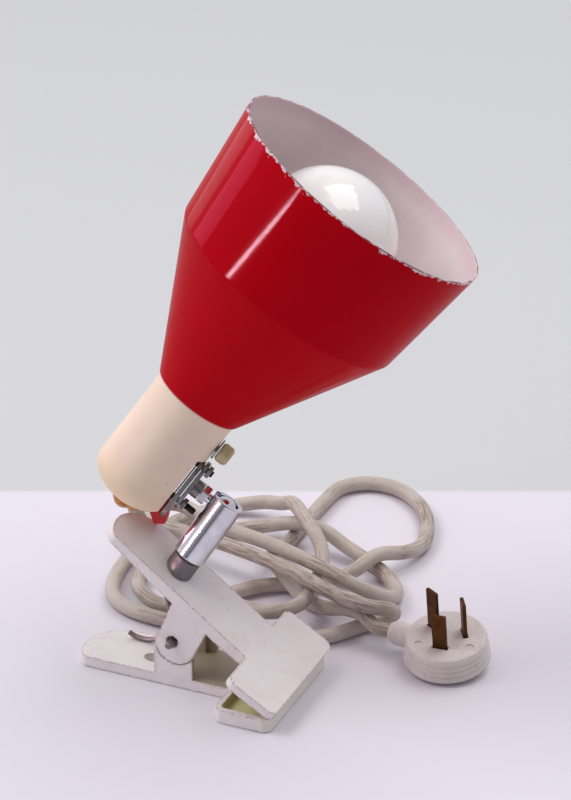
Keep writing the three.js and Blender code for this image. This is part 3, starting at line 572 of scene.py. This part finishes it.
def soften(node, material, bevel=0.4, segments=3, angle=38):
    """A copy of a CAD node with its edges rounded, which stands for the node."""
    source = NODES[node]
    bm = bmesh.new()
    bm.from_mesh(source.data)
    bmesh.ops.remove_doubles(bm, verts=bm.verts, dist=2e-6)
    bmesh.ops.dissolve_limit(bm, angle_limit=math.radians(1), verts=bm.verts, edges=bm.edges)
    mesh = bpy.data.meshes.new(node + "_soft")
    bm.to_mesh(mesh)
    bm.free()
    mesh.materials.clear()
    mesh.materials.append(material)
    piece = bpy.data.objects.new(node + "_soft", mesh)
    SCENE.collection.objects.link(piece)
    shade_smooth(piece, angle)
    if bevel:
        edge = piece.modifiers.new("edges", "BEVEL")
        edge.width = bevel * MM
        edge.segments = segments
        edge.limit_method = "ANGLE"
        edge.angle_limit = math.radians(30)
        edge.harden_normals = True
    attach(piece, source["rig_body"])
    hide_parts(node)
    return piece


def dress(node, material):
    """A CAD node that shows as it is, in a finish of its own."""
    mesh = NODES[node].data
    mesh.materials.clear()
    mesh.materials.append(material)
    for face in mesh.polygons:
        face.use_smooth = True
    mesh.set_sharp_from_angle(angle=math.radians(35))


def smooth_line(points, spacing):
    """Points every spacing along the centripetal Catmull-Rom curve through the given ones."""
    given = [Vector(p) for p in points]
    pts = [given[0] * 2 - given[1], *given, given[-1] * 2 - given[-2]]
    dense = [given[0]]
    for p0, p1, p2, p3 in zip(pts, pts[1:], pts[2:], pts[3:]):
        t1 = max((p1 - p0).length, 1e-9) ** 0.5
        t2 = t1 + max((p2 - p1).length, 1e-9) ** 0.5
        t3 = t2 + max((p3 - p2).length, 1e-9) ** 0.5
        for i in range(1, 25):
            t = t1 + (t2 - t1) * i / 24
            a1 = p0 * ((t1 - t) / t1) + p1 * (t / t1)
            a2 = p1 * ((t2 - t) / (t2 - t1)) + p2 * ((t - t1) / (t2 - t1))
            a3 = p2 * ((t3 - t) / (t3 - t2)) + p3 * ((t - t2) / (t3 - t2))
            b1 = a1 * ((t2 - t) / t2) + a2 * (t / t2)
            b2 = a2 * ((t3 - t) / (t3 - t1)) + a3 * ((t - t1) / (t3 - t1))
            dense.append(b1 * ((t2 - t) / (t2 - t1)) + b2 * ((t - t1) / (t2 - t1)))
    line, since = [dense[0]], 0.0
    for a, b in zip(dense, dense[1:]):
        since += (b - a).length
        if since >= spacing:
            line.append(b)
            since = 0.0
    if (line[-1] - dense[-1]).length > spacing * 0.3:
        line.append(dense[-1])
    return line


def tube_mesh(name, line, radius, sides=24, radius_at=None):
    """A capped tube along a line, with rings carried along it without twisting."""
    bm = bmesh.new()
    rings = []
    strand = []
    travelled = 0.0
    side = None
    for i, p in enumerate(line):
        travelled += (p - line[max(i - 1, 0)]).length
        ahead = (line[min(i + 1, len(line) - 1)] - line[max(i - 1, 0)]).normalized()
        side = ahead.orthogonal() if side is None else side - ahead * side.dot(ahead)
        side.normalize()
        other = ahead.cross(side)
        r = radius if radius_at is None else radius_at(i / (len(line) - 1))
        turns = [2 * math.pi * k / sides for k in range(sides)]
        rings.append([bm.verts.new(p + (side * math.cos(a) + other * math.sin(a)) * r) for a in turns])
        strand += [(math.cos(a) * CORD_RADIUS, math.sin(a) * CORD_RADIUS, travelled / MM) for a in turns]
    for low, high in zip(rings, rings[1:]):
        for k in range(sides):
            bm.faces.new((low[k], low[(k + 1) % sides], high[(k + 1) % sides], high[k]))
    bm.faces.new(list(reversed(rings[0])))
    bm.faces.new(rings[-1])
    mesh = bpy.data.meshes.new(name)
    bm.to_mesh(mesh)
    bm.free()
    around = mesh.attributes.new("strand", "FLOAT_VECTOR", "POINT")
    for item, value in zip(around.data, strand):
        item.vector = value
    return mesh


# ---- the flex ------------------------------------------------------------------------------------
TABLE = CORD_RADIUS + 0.4
LEAD = [
    (-33, 16, 69.1), (-34, 21.5, 63), (-33, 28, 50), (-26, 35, 36), (-15, 40, 22), (-4, 43.8, 11.6),
    (2, 45, 9), (6.6, 45.3, 8.3),
]
RUN = [
    (7.6, 45.3, 8.2), (12, 45, 8.2), (17, 44, 9), (23, 45, 10.2), (28, 51, 10.4), (30, 62, 10.4),
    (28, 75, 10.4), (25, 88, 10.4), (20, 98, 14), (14, 104, 17.2), (4, 115, 17.2), (-4, 123, 16.8),
    (-13, 130, 11), (-24, 134, 7), (-40, 128, TABLE), (-53, 111, TABLE), (-60, 90, TABLE),
    (-60.5, 68, TABLE),
    (-57, 48, TABLE), (-51, 37, TABLE), (-40, 31, TABLE), (-20, 29, TABLE), (8, 30, TABLE),
    (22, 35.5, TABLE), (33, 38.5, TABLE), (45, 43.5, TABLE), (52, 52, TABLE), (57, 60, TABLE), (63, 65, 5),
    (69, 64, 9.5), (69, 57.5, 15.5), (63, 53.5, 17.2), (52, 55, 17.2), (40, 59, 17.2), (16, 69, 17.2),
    (-15, 77, 17.2), (-36, 80, 17.2), (-50, 82, 17.2), (-59, 88, 17.2), (-59, 97, 17.2), (-50, 101, 17.2),
    (-36, 96, 17.2), (-19, 90, 17.2), (3, 85, 17.2), (27, 77, 17.2), (40, 73, 16), (51, 72.5, 13),
    (59, 78, 8), (60, 89, TABLE), (51, 101, TABLE), (38, 110, TABLE), (26, 114, 6), (12, 117, 10.4),
    (-2, 117, 10.2), (-16, 116, 6), (-30, 110, TABLE), (-42, 98, TABLE), (-49, 82, TABLE),
    (-49.5, 62, TABLE), (-46, 50, 5), (-40, 42, 6), (-32, 39, 4.5), (-22, 42, TABLE),
    (-13, 51, TABLE), (-5, 63, TABLE), (6, 74, TABLE), (18, 80, TABLE), (30, 86, TABLE),
    (38, 95, 7.5), (44, 106, 10.6), (51, 118, 7), (54, 132, TABLE), (50, 149, TABLE),
    (40, 165, TABLE), (25, 175, TABLE), (11, 175, TABLE), (1, 166, TABLE), (-1, 151, TABLE),
    (-1, 134, TABLE), (-1, 116, TABLE), (-1, 99, 6.5), (3, 84, 10.4), (12, 75, 10.6), (23, 70, 4.5),
    (30, 67, TABLE), (39, 62.5, 6), (49, 58, 10.6), (57, 56.3, 11),
]
NECK_MOUTH = PLUG @ (Vector((NECK_END - 2, 0, NECK_AXIS)) * MM) / MM
NECK_RUN = NECK_MOUTH + PLUG_OUT * 9
route = smooth_line([*LEAD, *RUN, NECK_RUN, NECK_MOUTH], 2.0)

# The lead bends at each joint between the head and the table, so it is four short lengths in series.
LEAD_PIECE = 40.0
JOINTS_DOWN = [("head", "stud"), ("stud", "barrel"), ("barrel", "arm"), ("arm", "base")]
cuts = [0]
travelled = 0.0
for i, (a, b) in enumerate(zip(route, route[1:]), start=1):
    travelled += (b - a).length
    if len(cuts) <= len(JOINTS_DOWN) and travelled >= LEAD_PIECE * len(cuts):
        cuts.append(i)
cuts.append(len(route) - 1)


def cord_piece(name, first, last):
    line = [p * MM for p in route[first:last + 1]]
    mesh = tube_mesh(name, line, CORD_RADIUS * MM)
    mesh.materials.append(FLEX)
    piece = bpy.data.objects.new(name, mesh)
    SCENE.collection.objects.link(piece)
    shade_smooth(piece)
    return piece, line


for number, (upper, lower) in enumerate(JOINTS_DOWN):
    piece, line = cord_piece(f"flex_lead_{number + 1}", cuts[number], cuts[number + 1])
    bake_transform(piece)

table_run, table_line = cord_piece("flex_run", cuts[-2], cuts[-1])
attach(table_run, "base")
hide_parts("cord", "cord_lead")

# ---- clamp ---------------------------------------------------------------------------------------
soften("lower_arm", LOWER_PAINT, bevel=0.6)
soften("upper_arm", UPPER_PAINT, bevel=0.8, segments=4)
turned(
    "pivot_pin_turned",
    rounded([(0, -15.8), (1.6, -15.8), (1.6, 17.8), (0, 17.8)], 0.4),
    Matrix.Translation((0, 0, PIVOT_HEIGHT * MM)) @ Matrix.Rotation(math.pi / 2, 4, "X"),
    "base", DARK_STEEL, ["pivot_pin"], facets=40,
)

SPRING_STEPS = 80
SPRING_TURNS = [3.8 - 17.5 * i / SPRING_STEPS for i in range(SPRING_STEPS + 1)]
SPRING_COIL = [
    (3.6 * math.sin(a), 7.2 - 7.4 * i / SPRING_STEPS, PIVOT_HEIGHT - 3.6 * math.cos(a))
    for i, a in enumerate(SPRING_TURNS)
]
spring_line = smooth_line(
    [(-30, 7.2, 8), (-27, 7.2, 6.6), (-20, 7.2, 6.6), (-15, 7.2, 9.5), *SPRING_COIL,
     (-7.5, -0.4, PIVOT_HEIGHT + 10), (-13, -0.4, PIVOT_HEIGHT + 30.6)],
    0.4,
)
spring = add(
    "torsion_spring_wire", tube_mesh("torsion_spring_wire", spring_line, 1.1, 16),
    WORLD, "base", DARK_STEEL, ["torsion_spring"],
)
shade_smooth(spring)

# ---- swivel --------------------------------------------------------------------------------------
soften("barrel_foot", FOOT_METAL, bevel=1.5, segments=5)
soften("foot_screw", DARK_STEEL, bevel=0.3)

barrel = turned(
    "swivel_barrel_chrome",
    rounded([
        (5.3, 8.5), (5.3, 7.4), (7.15, 7.4), (7.15, BARREL_TOP), (4.9, BARREL_TOP), (4.9, BARREL_TOP - 0.7),
        (5.9, BARREL_TOP - 1.4), (5.9, 14),
        (5.3, 13), (5.3, 8.5),
    ], 0.45),
    BARREL, "barrel", CHROME, ["swivel_barrel"], facets=120,
)
slot_half = STUD_RADIUS + 0.5
across = Matrix.Rotation(math.pi / 2, 4, "Y")
carve(barrel, [
    box_mesh(1, 9, -slot_half, slot_half, BALL_HEIGHT - 0.6, 40),
    turned_mesh(rod_mesh(slot_half, 1, 9), Matrix.Translation((0, 0, BALL_HEIGHT - 0.6)) @ across),
])
shade_smooth(barrel)
dress("ball_seat", BRASS)
dress("barrel_spring", DARK_STEEL)

FLANGE_FACE = LAMP_OFFSET - FLAT_OFFSET - 3.5
ball_profile = [(0, -BALL_RADIUS)]
for i in range(1, 40):
    angle = math.pi * (1 - i / 40)
    if math.cos(angle) < 0 or math.sin(angle) * BALL_RADIUS > STUD_RADIUS + 0.2:
        ball_profile.append((BALL_RADIUS * math.sin(angle), BALL_RADIUS * math.cos(angle)))
ball_profile += [(STUD_RADIUS, 5.6), (STUD_RADIUS, FLANGE_FACE - 1), (0, FLANGE_FACE - 1)]
turned("ball_stud_turned", ball_profile, STUD, "stud", CHROME, ["ball_stud"], facets=64)
soften("stud_nut", CHROME, bevel=0.35)

# ---- mounting hardware ---------------------------------------------------------------------------
soften("plate_gasket", BLACK_RUBBER, bevel=0.15)
soften("mounting_plate", ZINC, bevel=0.35)
soften("swivel_flange", ZINC, bevel=0.35)
soften("flange_nut_upper", ZINC, bevel=0.25)
soften("flange_nut_lower", ZINC, bevel=0.25)


def screw_profile(x0, x1, core, crest, pitch):
    """A threaded end: small ridges from x0 to x1 on a shank that starts inside the cap."""
    inner, face = FLAT_OFFSET - 4.6, FLAT_OFFSET - 3
    points = [(0, inner), (2.5, inner), (2.5, face), (core, face), (core, x0)]
    x = x0
    while x + pitch < x1:
        points += [(crest, x + pitch * 0.35), (crest, x + pitch * 0.55), (core, x + pitch * 0.9)]
        x += pitch
    return [*points, (core * 0.9, x1), (0, x1)]


flange_out = LAMP_OFFSET - FLANGE_FACE + 1.8
for which, height, reach in (("upper", FLANGE_SCREW, 3.2), ("lower", -FLANGE_SCREW, 7)):
    turned(
        f"flange_screw_{which}_thread",
        screw_profile(flange_out - 2, flange_out + reach, 1.32, 1.5, 0.5),
        HEAD @ Matrix.Translation((0, 0, height * MM)) @ across,
        "head", BLACK_STEEL, [f"flange_screw_{which}"], facets=32, angle=50,
    )

# ---- cap, button, grommet, thumbscrew ------------------------------------------------------------



def bowl(radius, apex, depth, steps):
    """Points of a quarter ellipse from the axis out to the radius."""
    angles = [math.pi / 2 * i / steps for i in range(steps + 1)]
    return [(radius * math.sin(a), apex + depth * (1 - math.cos(a))) for a in angles]


dome = bowl(CAP_RADIUS, CAP_APEX, DOME_DEPTH, 24)
hollow = bowl(14.6, CAP_APEX + 3.4, 10, 16)[::-1]
cap = turned(
    "cap_shell",
    [*dome, (CAP_RADIUS, CAP_TOP - 0.5), (CAP_RADIUS - 0.5, CAP_TOP), (14.7, CAP_TOP), *hollow],
    HEAD, "head", CREAM, ["cap"], facets=144,
)
button_turn = Matrix.Rotation(math.pi - math.radians(BUTTON_TILT), 4, "Y")
button_place = Matrix.Translation((15.2, 9.3, -19.3)) @ button_turn
grommet_down = Matrix.Scale(1 / MM, 4) @ HEAD.inverted() @ Matrix.Scale(MM, 4)
carve(cap, [
    box_mesh(FLAT_OFFSET, 22, -20, 20, -20, 13),
    turned_mesh(box_mesh(-4.9, 4.9, -3.3, 3.3, -9, 12), button_place),
    turned_mesh(rod_mesh(4.2, 68, 88), grommet_down @ Matrix.Translation((-29.4, 1.3, 0))),
    *[
        turned_mesh(rod_mesh(1.8, 10, 22), Matrix.Translation((0, 0, height)) @ across)
        for height in (THUMB_HEIGHT, FLANGE_SCREW, -FLANGE_SCREW)
    ],
])
shade_smooth(cap)

GROMMET = [(-29.4, 1.2, 83), (-29.4, 1.4, 78.6), (-30.4, 4.4, 75.2), (-31.6, 9.5, 72.2), (-32.7, 14.7, 69.8)]
RELIEF = [*GROMMET, (-33.4, 18.5, 66.6), (-34, 22.5, 61.8)]


def relief_radius(t):
    """Full at the cap, then a long taper with shallow rings."""
    ringed = 0.12 * math.sin(t * 16 * math.pi) if t > 0.3 else 0
    return (3.9 - max(0, t - 0.35) * 0.85 + ringed) * MM


grommet_line = [p * MM for p in smooth_line(RELIEF, 0.6)]
grommet_mesh = tube_mesh("cord_grommet_amber", grommet_line, 3.9 * MM, 32, relief_radius)
grommet_mesh.materials.append(AMBER)
grommet = bpy.data.objects.new("cord_grommet_amber", grommet_mesh)
SCENE.collection.objects.link(grommet)
shade_smooth(grommet)
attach(grommet, "head")
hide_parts("cord_grommet")

soften("switch_button", RED_PLASTIC, bevel=0.7, segments=4)
soften("switch_body", BAKELITE, bevel=0.5)
soften("thumbscrew", ZINC, bevel=0.2)
turned(
    "thumbscrew_knob_turned",
    rounded([(0, 20.4), (3.6, 20.4), (4.5, 21.6), (4.3, 25), (3.2, 26.2), (1.2, 26.0), (0, 25.8)], 0.9),
    HEAD @ Matrix.Translation((0, 0, THUMB_HEIGHT * MM)) @ across,
    "knob", IVORY, ["thumbscrew_knob"], facets=64,
)

# ---- lampholder, bulb, shade ---------------------------------------------------------------------
soften("lampholder_body", BAKELITE, bevel=0.4)
soften("shade_ring", BAKELITE, bevel=0.5)
dress("contact_plunger_a", BRASS)
dress("contact_plunger_b", BRASS)
soften("bulb_cap", ALUMINIUM, bevel=0.3)

globe = []
for i in range(33):
    angle = 0.62 - math.pi / 2 + (math.pi - 0.62) * i / 32
    globe.append((max(0.0, BULB_RADIUS * math.cos(angle)), BULB_CENTRE + BULB_RADIUS * math.sin(angle)))
globe[-1] = (0, BULB_CENTRE + BULB_RADIUS)
turned(
    "bulb_globe", [(9.6, 67.7), (10.6, 67.7), (12.2, 75.7), (14.2, 83.7), (15.6, 90), *globe],
    HEAD, "head", OPAL, ["bulb_glass"], facets=128,
)

shade_profile = [
    (NECK_RADIUS, SHADE_NECK), (NECK_RADIUS + 0.5, SHADE_NECK + 0.9), (SHOULDER_RADIUS, SHADE_SHOULDER),
    (RIM_RADIUS, SHADE_RIM), (RIM_RADIUS - 1, SHADE_RIM), (SHOULDER_RADIUS - 1, SHADE_SHOULDER + 0.3),
    (21.5, CAP_TOP + 1.5), (14.2, CAP_TOP + 1.5), (14.2, CAP_TOP + 0.3), (20.8, CAP_TOP + 0.3),
    (19.4, SHADE_NECK + 1), (19.4, SHADE_NECK), (NECK_RADIUS, SHADE_NECK),
]
outline = [shade_profile[0]]
outline += rounded(shade_profile[0:4], 5, 8)[1:-1]
outline += [(RIM_RADIUS - 0.05, SHADE_RIM - 0.3), (RIM_RADIUS - 0.2, SHADE_RIM)]
rim_start = len(outline) - 2
outline += [(RIM_RADIUS - 0.8, SHADE_RIM), (RIM_RADIUS - 1, SHADE_RIM - 0.3)]
outline += rounded([outline[-1], shade_profile[5], shade_profile[6]], 5, 8)[1:]
outline += shade_profile[7:]
red_until = rim_start - 1


def shade_part(segment):
    if segment <= red_until:
        return 0
    return 1 if segment <= red_until + 2 else 2


shade_mesh = lathe_mesh("shade_enamel", outline, 192, shade_part)
shade = add("shade_enamel", shade_mesh, HEAD, "head", [RED, RIM, INSIDE], ["shade"])
shade_smooth(shade, 50)

# ---- plug ----------------------------------------------------------------------------------------
side = []
RIBS = 4
for i in range(RIBS):
    top = -1.2 - i * 2.5
    grow = 17.5 + 1.3 * (i + 0.5) / RIBS
    side += [(grow - 0.25, top - 0.2), (grow, top - 0.5), (grow + 0.1, top - 2.0), (grow - 0.35, top - 2.3)]
plug_profile = [
    (0, 0), (16.2, 0), (17.1, -0.4), *side,
    (17.9, -PLUG_HEIGHT + 1.0), (16.4, -PLUG_HEIGHT), (0, -PLUG_HEIGHT),
]
plug = turned(
    "plug_body_ribbed", rounded(plug_profile, 0.3, 2), PLUG,
    "base", PLUG_PLASTIC, ["plug_body"], facets=96,
)
PINS = [("earth", -22, -22), ("active", 98, 188), ("neutral", 218, 308)]
openings = []
for name, turn, broadside in PINS:
    centre = Vector((7.9 * math.cos(math.radians(turn)), 7.9 * math.sin(math.radians(turn)), 0))
    seat = Matrix.Translation(centre) @ Matrix.Rotation(math.radians(broadside), 4, "Z")
    openings.append(turned_mesh(box_mesh(-3.6, 3.6, -1.2, 1.2, -4.6, 2), seat))
for turn in (48, 168):
    spot = Matrix.Translation((12.6 * math.cos(math.radians(turn)), 12.6 * math.sin(math.radians(turn)), 0))
    openings.append(turned_mesh(rod_mesh(1.9, -0.5, 2), spot))
openings.append(turned_mesh(rod_mesh(5.6, 13.5, 30), Matrix.Translation((0, 0, NECK_AXIS)) @ across))
carve(plug, openings)
shade_smooth(plug)
turned(
    "plug_neck_turned",
    rounded([
        (0, 14), (5.3, 14), (5.3, NECK_END - 3), (4.4, NECK_END - 0.8), (3.6, NECK_END), (0, NECK_END),
    ], 1.2),
    PLUG @ Matrix.Translation((0, 0, NECK_AXIS * MM)) @ across,
    "base", PLUG_PLASTIC, ["plug_neck"], facets=56,
)
for name, _, _ in PINS:
    soften(f"plug_pin_{name}", AGED_BRASS, bevel=0.3)

# ---- floor, light, camera ------------------------------------------------------------------------
TABLE_EDGE = 0.154
LOOK = math.radians(23.65)


def floor_material():
    """Near-white table that gives way to a grey wall beyond its back edge, with painted shade darkening the
    wall to the right.
    """
    f = Finish("floor", (229, 223, 232), 0.55, specular=0.2)
    axis = f.node("ShaderNodeVectorMath", operation="DOT_PRODUCT")
    axis.inputs[1].default_value = (-math.sin(LOOK), math.cos(LOOK), 0)
    f.link(f.place, axis.inputs[0])
    beyond = f.step(axis.outputs["Value"], TABLE_EDGE * 1000 - 1, TABLE_EDGE * 1000 + 3)
    f.layer(beyond, (208, 208, 209), 0.8)
    # Painted shade: the wall grows darker towards +X.
    f.layer(both(f, beyond, f.step(f.along("X"), 0, 900)), (190, 188, 191), 0.8)
    return f.done()


bm = bmesh.new()
for x, y in ((-4, -4), (4, -4), (4, 4), (-4, 4)):
    bm.verts.new((x, y, 0))
bm.faces.new(bm.verts)
floor_mesh = bpy.data.meshes.new("floor")
bm.to_mesh(floor_mesh)
bm.free()
floor_mesh.materials.append(floor_material())
floor = bpy.data.objects.new("floor", floor_mesh)
floor.location = (0, 0, -0.0002)
SCENE.collection.objects.link(floor)


def room():
    """Light all round, dimmer low down on the camera's side."""
    world = bpy.data.worlds.new("soft_room")
    world.use_nodes = True
    tree = world.node_tree
    where = tree.nodes.new("ShaderNodeTexCoord")
    facing = tree.nodes.new("ShaderNodeVectorMath")
    facing.operation = "DOT_PRODUCT"
    facing.inputs[1].default_value = Vector((0.62, -0.74, -0.25)).normalized()
    fade = tree.nodes.new("ShaderNodeMapRange")
    fade.interpolation_type = "SMOOTHSTEP"
    fade.inputs["From Min"].default_value = -0.1
    fade.inputs["From Max"].default_value = 0.85
    mix = tree.nodes.new("ShaderNodeMix")
    mix.data_type = "RGBA"
    mix.inputs["A"].default_value = (0.93, 0.94, 1.0, 1)
    mix.inputs["B"].default_value = (0.16, 0.16, 0.18, 1)
    tree.links.new(where.outputs["Generated"], facing.inputs[0])
    tree.links.new(facing.outputs["Value"], fade.inputs["Value"])
    tree.links.new(fade.outputs["Result"], mix.inputs["Factor"])
    tree.links.new(mix.outputs["Result"], tree.nodes["Background"].inputs["Color"])
    tree.nodes["Background"].inputs["Strength"].default_value = 0.7
    SCENE.world = world


room()


def softbox(name, position, target, width, height, power, along=None, shine=None):
    """An area light aimed at a target; along is the way its width runs, level if not given.
    A light with a shine colour shows in glossy surfaces only."""
    data = bpy.data.lights.new(name, "AREA")
    data.shape = "RECTANGLE"
    data.size = width
    data.size_y = height
    data.energy = power
    lamp = bpy.data.objects.new(name, data)
    lamp.location = position
    back = (Vector(position) - Vector(target)).normalized()
    across = UP.cross(back) if along is None else Vector(along) - back * back.dot(Vector(along))
    across.normalize()
    lamp.rotation_euler = Matrix((across, back.cross(across), back)).transposed().to_euler()
    if shine is not None:
        data.color = shine
        lamp.visible_diffuse = False
    SCENE.collection.objects.link(lamp)


softbox("key", (-1.0, -0.3, 1.5), (0, 0, 0.1), 0.9, 0.9, 11)
softbox("top", (0.45, 0.5, 1.5), (0, 0, 0.1), 1.2, 1.0, 9)
softbox(
    "streak", (-0.936, -1.131, 0.378), (0.038, -0.004, 0.217), 0.27, 0.026, 11,
    along=(0.188, -0.13, 0.021), shine=(1.0, 0.55, 0.7),
)
softbox("wedge", (-1.47, 0.02, 0.37), (0.0, 0.0, 0.22), 0.5, 0.22, 5, shine=(1.0, 0.22, 0.45))
softbox("side", (-1.34, 0.72, 0.15), (0.02, 0.04, 0.2), 0.6, 0.5, 2.6, shine=(1.0, 0.8, 0.9))

camera = bpy.data.objects.new("camera", bpy.data.cameras.new("camera"))
camera.data.sensor_width = 24
camera.data.lens = 150
camera.location = (0.7666, -1.6451, 1.1172)
aim = Vector((0.0167, 0.0673, 0.1012)) - camera.location
camera.rotation_euler = aim.to_track_quat("-Z", "Y").to_euler()
camera.data.clip_start = 0.1
camera.data.clip_end = 20
SCENE.collection.objects.link(camera)
SCENE.camera = camera
SCENE.view_settings.view_transform = "Standard"
